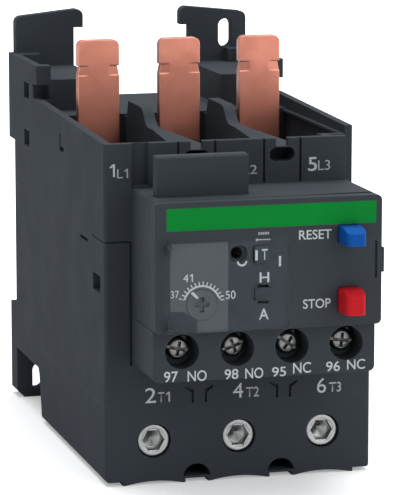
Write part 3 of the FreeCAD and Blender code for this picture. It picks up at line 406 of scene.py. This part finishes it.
def terminal_names():
    """Pole numbers and kinds on the front wall, above the main screws and under its top."""
    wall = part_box("upper_housing")[0].y
    base_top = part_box("terminal_base")[1].z
    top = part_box("upper_housing")[1].z
    lower = {
        1: [("2", -1.88, 0.37, 0.42, 3.46), ("T1", 0.78, 3.23, 0.46, 2.49)],
        2: [("4", -1.27, 0.81, 0.42, 3.44), ("T2", 1.43, 4.14, 0.46, 2.49)],
        3: [("6", -1.21, 0.68, 0.42, 3.46), ("T3", 1.32, 3.85, 0.46, 2.49)],
    }
    upper = {
        1: [("1", -9.0, -7.80, -15.0, -12.5), ("L1", -7.38, -5.17, -15.3, -13.5)],
        2: [("3", -1.40, 0.20, -15.3, -12.6), ("L2", 0.75, 3.57, -15.5, -13.7)],
        3: [("5", -3.39, -1.52, -15.4, -12.6), ("L3", -1.31, 1.19, -15.3, -13.3)],
    }
    for number in POLES:
        x = middle(f"terminal_screw_{number}").x
        print_rows(f"load_{number}", lower[number][:1], x, base_top, wall)
        print_rows(f"load_kind_{number}", lower[number][1:], x, base_top, wall, look="faint_ink",
                   bold=True)
        print_rows(f"line_{number}", upper[number][:1], x, top, wall, bold=True)
        print_rows(f"line_kind_{number}", upper[number][1:], x, top, wall, look="faint_ink")


def aux_screw_centres():
    """Middles of the auxiliary screws' front faces, from left to right."""
    low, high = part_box("aux_terminal_screws")
    radius = (high.z - low.z) / 2
    first = low.x + radius
    run = high.x - low.x - 2 * radius
    return [Vector((first + run * place / (AUX_SCREWS - 1), low.y, low.z + radius))
            for place in range(AUX_SCREWS)]


def contact_names():
    """Contact numbers and kinds under the auxiliary screws."""
    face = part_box("aux_terminal_block")[0].y
    rows = [
        [("97", -3.63, -0.84, -5.85, -3.75), ("NO", 1.07, 4.89, -5.95, -3.85)],
        [("98", -2.56, 0.20, -5.95, -3.95), ("NO", 1.59, 5.23, -6.05, -3.95)],
        [("95", -4.05, -1.20, -5.95, -4.05), ("NC", 0.22, 3.89, -5.55, -3.40)],
        [("96", -4.10, -1.24, -5.55, -3.55), ("NC", 0.20, 3.90, -5.40, -3.40)],
    ]
    for place, (row, centre) in enumerate(zip(rows, aux_screw_centres())):
        print_rows(f"contact_{place}", row, centre.x, centre.z, face, bold=True)


def fascia_names():
    """Marks beside the buttons, the slides and the dial."""
    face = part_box("scale_plate")[0].y
    reset = middle("reset_button")
    print_rows("reset", [("RESET", -10.01, -3.44, -0.80, 1.05)], reset.x, reset.z, face, bold=True)
    stop = middle("stop_button")
    print_rows("stop", [("STOP", -9.12, -3.54, -1.50, 0.35)], stop.x, stop.z, face, bold=True)
    mode = middle("mode_slider")
    print_rows("mode", [("H", -0.69, 1.23, 2.22, 4.21), ("A", -0.79, 1.14, -5.02, -2.88)],
               mode.x, mode.z, face, bold=True)
    test = middle("test_slider")
    print_rows("test", [("I", -1.30, -0.75, -1.04, 0.91), ("T", 0.05, 1.15, -1.01, 1.10)],
               test.x, test.z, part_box("test_slider")[0].y, "test_slider", bold=True)
    print_rows("state", [("I", 3.60, 4.05, -2.50, -0.50)], test.x, test.z, face, bold=True)
    half_ring = arc_band(radius=0.85, width=0.36, start=180, end=360, steps=12)
    flat_marks("state_off", half_ring, test.x - 3.75 * MM, test.z - 1.15 * MM, face)
    lefts = [-0.5 + 0.45 * dash for dash in range(5)]
    dashes = [[(left, 0.0), (left + 0.3, 0.0), (left + 0.3, 0.5), (left, 0.5)] for left in lefts]
    arrow = [[(-0.55, -1.05), (1.9, -1.05), (1.9, -0.85), (-0.55, -0.85)],
             [(-0.6, -0.55), (-1.1, -0.95), (-0.6, -1.35), (-0.6, -0.95)]]
    flat_marks("test_arrow", dashes + arrow, test.x, test.z + 3.8 * MM, face, look="faint_ink")


def arc_band(radius, width, start, end, steps):
    """Quads of a flat ring segment, with angles in degrees."""
    rows = []
    for step in range(steps + 1):
        angle = math.radians(start + (end - start) * step / steps)
        rows.append([(math.cos(angle) * r, math.sin(angle) * r)
                     for r in (radius + width / 2, radius - width / 2)])
    return [[a[0], b[0], b[1], a[1]] for a, b in zip(rows, rows[1:])]


def spoke(angle, near, far, width):
    """Quad of a radial line, with its angle in degrees."""
    turn = math.radians(angle)
    along = (math.cos(turn), math.sin(turn))
    side = (-math.sin(turn) * width / 2, math.cos(turn) * width / 2)
    return [(along[0] * near - side[0], along[1] * near - side[1]),
            (along[0] * far - side[0], along[1] * far - side[1]),
            (along[0] * far + side[0], along[1] * far + side[1]),
            (along[0] * near + side[0], along[1] * near + side[1])]


def dial_scale():
    """Current scale round the dial: an arc, ticks and plain numbers, and the dial's pointer."""
    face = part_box("scale_plate")[0].y
    dial = middle("current_dial")
    radius = 3.62
    start, end = 163, 20
    steps = 13
    quads = arc_band(radius, width=0.34, start=start, end=end, steps=24)
    quads += [spoke(start + (end - start) * tick / steps, radius, radius + 0.85, 0.22)
              for tick in range(steps + 1)]
    quads.append(spoke(start, radius, radius + 1.1, 0.30))
    flat_marks("dial_scale", quads, dial.x, dial.z, face)
    ring = arc_band(radius=0.42, width=0.2, start=40, end=330, steps=10)
    flat_marks("dial_scale_end", ring, dial.x + 4.05 * MM, dial.z + 1.15 * MM, face)
    print_rows("dial", [("37", -6.15, -4.50, 1.50, 2.95), ("41", -3.68, -1.75, 4.52, 6.05),
                        ("50", 4.75, 6.70, 0.85, 2.45)], dial.x, dial.z, face)
    pointer = [[(-2.25, 2.30), (-0.98, 1.16), (-0.68, 1.46), (-1.72, 2.62)]]
    flat_marks("dial_pointer", pointer, dial.x, dial.z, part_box("current_dial")[0].y,
               "current_dial")


def flat_marks(name, quads, x, z, face, body="body", look="ink"):
    """Printed four-cornered marks, measured from one point of a face."""
    vertices = []
    faces = []
    for quad in quads:
        start = len(vertices)
        vertices += [(x + px * MM, face - PRINT_LIFT, z + pz * MM) for px, pz in quad]
        faces.append(tuple(range(start, start + len(quad))))
    mesh = bpy.data.meshes.new(name)
    mesh.from_pydata(vertices, [], faces)
    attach(show(bpy.data.objects.new(name, mesh), look), body)


# ---- finer screws and springs -------------------------------------------------------------------
def ring_of(mesh, centre, radius, depth, count):
    """Corners of a regular polygon round the Y axis through a point."""
    turns = [2 * math.pi * corner / count for corner in range(count)]
    return [mesh.verts.new(centre + Vector((radius * math.cos(turn), depth,
                                            radius * math.sin(turn))) * MM) for turn in turns]


def turned(name, profile, centre, segments=48):
    """Solid of revolution about Y from (radius, depth) points, front to rear."""
    mesh = bmesh.new()
    rings = [ring_of(mesh, centre, radius, depth, segments if radius else 1)
             for radius, depth in profile]
    for front, rear in zip(rings, rings[1:]):
        for i in range(segments):
            corners = [front[i % len(front)], front[(i + 1) % len(front)],
                       rear[(i + 1) % len(rear)], rear[i % len(rear)]]
            mesh.faces.new(dict.fromkeys(corners))
    bmesh.ops.recalc_face_normals(mesh, faces=mesh.faces)
    return linked(name, mesh)


def linked(name, mesh):
    """Object in the scene from a bmesh."""
    data = bpy.data.meshes.new(name)
    mesh.to_mesh(data)
    mesh.free()
    return show(bpy.data.objects.new(name, data))


def box_piece(name, centre, size):
    """Box about a point."""
    mesh = bmesh.new()
    bmesh.ops.create_cube(mesh, size=1.0)
    bmesh.ops.scale(mesh, vec=Vector(size) * MM, verts=mesh.verts)
    bmesh.ops.translate(mesh, vec=centre, verts=mesh.verts)
    return linked(name, mesh)


def carve(piece, tools, look):
    """Cut every tool out of a piece, drop the tools and give what is left one look."""
    for tool in tools:
        cut = piece.modifiers.new("cut", "BOOLEAN")
        cut.operation = "DIFFERENCE"
        cut.solver = "EXACT"
        cut.object = tool
    bpy.context.view_layer.update()
    graph = bpy.context.evaluated_depsgraph_get()
    mesh = bpy.data.meshes.new_from_object(piece.evaluated_get(graph))
    piece.modifiers.clear()
    piece.data = mesh
    for tool in tools:
        bpy.data.objects.remove(tool)
    mesh.materials.clear()
    mesh.materials.append(looks[look])


def small_screws():
    """Domed auxiliary screws with a slot and a crossed recess, each stopped at its own turn."""
    low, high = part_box("aux_terminal_screws")
    r = (high.z - low.z) / 2 / MM
    raised = 0.9
    head = 1.5 + raised
    shank = 1.35
    rear = (high.y - low.y) / MM
    dome = [(0, 0.02), (0.45 * r, 0.06), (0.75 * r, 0.22), (0.93 * r, 0.50), (r, 0.85)]
    profile = dome + [(r, head), (shank, head), (shank, rear), (0, rear)]
    groove = 0.62
    recess = 1.30 * r
    cuts = {"slot": (2.2 * r, 1.5, groove), "cross": (groove, 2.2, recess),
            "well": (recess, 2.2, groove)}
    for number, (centre, turn) in enumerate(zip(aux_screw_centres(), (12, -20, 35, 8)), start=1):
        centre.y -= raised * MM
        piece = turned(f"aux_screw_{number}", profile, centre)
        tools = []
        for name, size in cuts.items():
            tool = box_piece(f"{name}_tool", Vector((0, 0, 0)), size)
            tool.rotation_euler = (0, math.radians(turn), 0)
            tool.location = centre
            tools.append(tool)
        carve(piece, tools, "small_screw")
        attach(piece, "body")
        if number == 1:
            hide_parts("aux_terminal_screws")


def hexagon(name, centre, across_flats, depths):
    """Hexagonal prism about Y, from its front to its rear depth."""
    mesh = bmesh.new()
    front, rear = [ring_of(mesh, centre, across_flats / math.sqrt(3), depth, 6)
                   for depth in depths]
    mesh.faces.new(front)
    mesh.faces.new(rear)
    for i in range(6):
        mesh.faces.new((front[i], front[(i + 1) % 6], rear[(i + 1) % 6], rear[i]))
    bmesh.ops.recalc_face_normals(mesh, faces=mesh.faces)
    return linked(name, mesh)


def main_screws():
    """Cylinder-head terminal screws: bevelled rim, countersunk hexagon socket, ribbed shank."""
    neck = 2.4
    thread_root = 2.05
    pitch = 0.9
    socket_flats = 4.0
    for number in POLES:
        node = f"terminal_screw_{number}"
        low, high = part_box(node)
        r = (high.z - low.z) / 2 / MM
        centre = Vector(((low.x + high.x) / 2, low.y, (low.z + high.z) / 2))
        rear = (high.y - low.y) / MM
        countersink = [(0, 0.16), (2.34, 0.16), (2.46, 0.03), (2.9, 0.0)]
        rim = [(r - 0.30, 0.03), (r - 0.08, 0.15), (r, 0.42), (r, 3.6)]
        profile = countersink + rim + [(neck, 3.62)]
        along = 3.9
        while along + pitch < rear:
            profile += [(neck, along), (thread_root, along + pitch / 2)]
            along += pitch
        profile += [(2.0, rear), (0, rear)]
        piece = turned(f"screw_{number}_body", profile, centre, segments=64)
        well = hexagon("well_tool", centre, socket_flats, depths=(-0.5, 2.1))
        pit = turned("pit_tool", [(0, 1.9), (1.95, 2.0), (0, 3.1)], centre)
        carve(piece, [well, pit], "zinc")
        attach(piece, node)
        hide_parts(node)


def springs():
    """The two return springs, copied from their nodes and fixed to the body."""
    for name, joint in (("reset_spring", "reset_press"), ("stop_spring", "stop_press")):
        piece = show(bpy.data.objects.new(f"{name}_coil", nodes[name].data.copy()))
        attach(piece, "body")
        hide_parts(name)
        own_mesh(piece)


# ---- camera, floor and light --------------------------------------------------------------------
def product_camera():
    """Long lens that looks at the front from the left and a little from above."""
    yaw, pitch = 0.266, 0.172  # radians
    distance = 607.1 * MM
    aim = Vector((-8.1 * MM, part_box("upper_housing")[0].y, 47.44 * MM))
    forward = Vector((math.sin(yaw) * math.cos(pitch), math.cos(yaw) * math.cos(pitch),
                      -math.sin(pitch)))
    data = bpy.data.cameras.new("camera")
    data.sensor_fit = "VERTICAL"
    data.sensor_height = 36.0
    data.lens = 223.7
    data.clip_start = 0.05
    data.clip_end = 10.0
    camera = show(bpy.data.objects.new("camera", data))
    camera.location = aim - forward * distance
    camera.rotation_euler = forward.to_track_quat("-Z", "Y").to_euler()
    bpy.context.scene.camera = camera


def panel_light(name, place, size, power, aim=(0.0, 0.0, 0.045)):
    """Rectangular area light that faces the part's middle, with its power in watts."""
    data = bpy.data.lights.new(name, "AREA")
    data.shape = "RECTANGLE"
    data.size, data.size_y = size
    data.energy = power
    light = show(bpy.data.objects.new(name, data))
    light.location = place
    light.rotation_euler = (Vector(aim) - Vector(place)).to_track_quat("-Z", "Y").to_euler()


def seen_directly(tree):
    """1 for rays that come from the camera, a mirror-like surface or clear plastic."""
    path = tree.nodes.new("ShaderNodeLightPath")
    total = path.outputs["Is Camera Ray"]
    for name in ("Is Glossy Ray", "Is Transmission Ray"):
        node = tree.nodes.new("ShaderNodeMath")
        node.operation = "ADD"
        node.use_clamp = True
        tree.links.new(total, node.inputs[0])
        tree.links.new(path.outputs[name], node.inputs[1])
        total = node.outputs["Value"]
    return total


def floor():
    """Pale floor that reads as white to the camera but keeps the object's shadow."""
    half = 6.0
    mesh = bpy.data.meshes.new("floor")
    corners = [(-half, -half, 0), (half, -half, 0), (half, half, 0), (-half, half, 0)]
    mesh.from_pydata(corners, [], [(0, 1, 2, 3)])
    plane = show(bpy.data.objects.new("floor", mesh))
    s = Shader("floor_paper")
    fibre = s.noise(2.0, 3.0, 0.6)
    colour = s.blend(s.spread(fibre, 0.0, 1.0), (0.86, 0.86, 0.86), (0.90, 0.90, 0.90))
    s.finish(colour, s.spread(fibre, 0.85, 0.95), Specular_IOR_Level=0.1)
    s.body.inputs["Emission Color"].default_value = (1, 1, 1, 1)
    reach = s.add("ShaderNodeVectorMath", operation="LENGTH")
    s.join(s.place, reach.inputs[0])
    near, far = 0.08, 0.45  # the glow rises between these distances from the part's middle
    glow = s.spread(reach.outputs["Value"], 0.30, 1.0, near, far)
    s.join(s.maths("MULTIPLY", glow, seen_directly(s.tree)), s.body.inputs["Emission Strength"])
    mesh.materials.append(s.material)


def world():
    """White surroundings to the camera, softer ones for lighting."""
    scene = bpy.context.scene
    scene.world = bpy.data.worlds.new("world")
    scene.world.use_nodes = True
    tree = scene.world.node_tree
    tree.nodes.clear()
    seen = tree.nodes.new("ShaderNodeBackground")
    seen.inputs["Color"].default_value = (1, 1, 1, 1)
    lit = tree.nodes.new("ShaderNodeBackground")
    lit.inputs["Color"].default_value = (0.93, 0.96, 1.0, 1)
    lit.inputs["Strength"].default_value = 0.52
    mix = tree.nodes.new("ShaderNodeMixShader")
    output = tree.nodes.new("ShaderNodeOutputWorld")
    tree.links.new(seen_directly(tree), mix.inputs["Fac"])
    tree.links.new(lit.outputs["Background"], mix.inputs[1])
    tree.links.new(seen.outputs["Background"], mix.inputs[2])
    tree.links.new(mix.outputs["Shader"], output.inputs["Surface"])


dress_nodes()
small_screws()
main_screws()
springs()
terminal_names()
contact_names()
fascia_names()
dial_scale()

product_camera()
floor()
world()
panel_light("key", place=(-0.45, -0.45, 0.80), size=(0.6, 0.6), power=0.6)
panel_light("top", place=(0.05, 0.10, 0.90), size=(0.8, 0.6), power=9.0)
panel_light("fill", place=(0.45, -0.80, 0.40), size=(0.7, 0.7), power=3.3)
bpy.context.scene.view_settings.view_transform = "Standard"
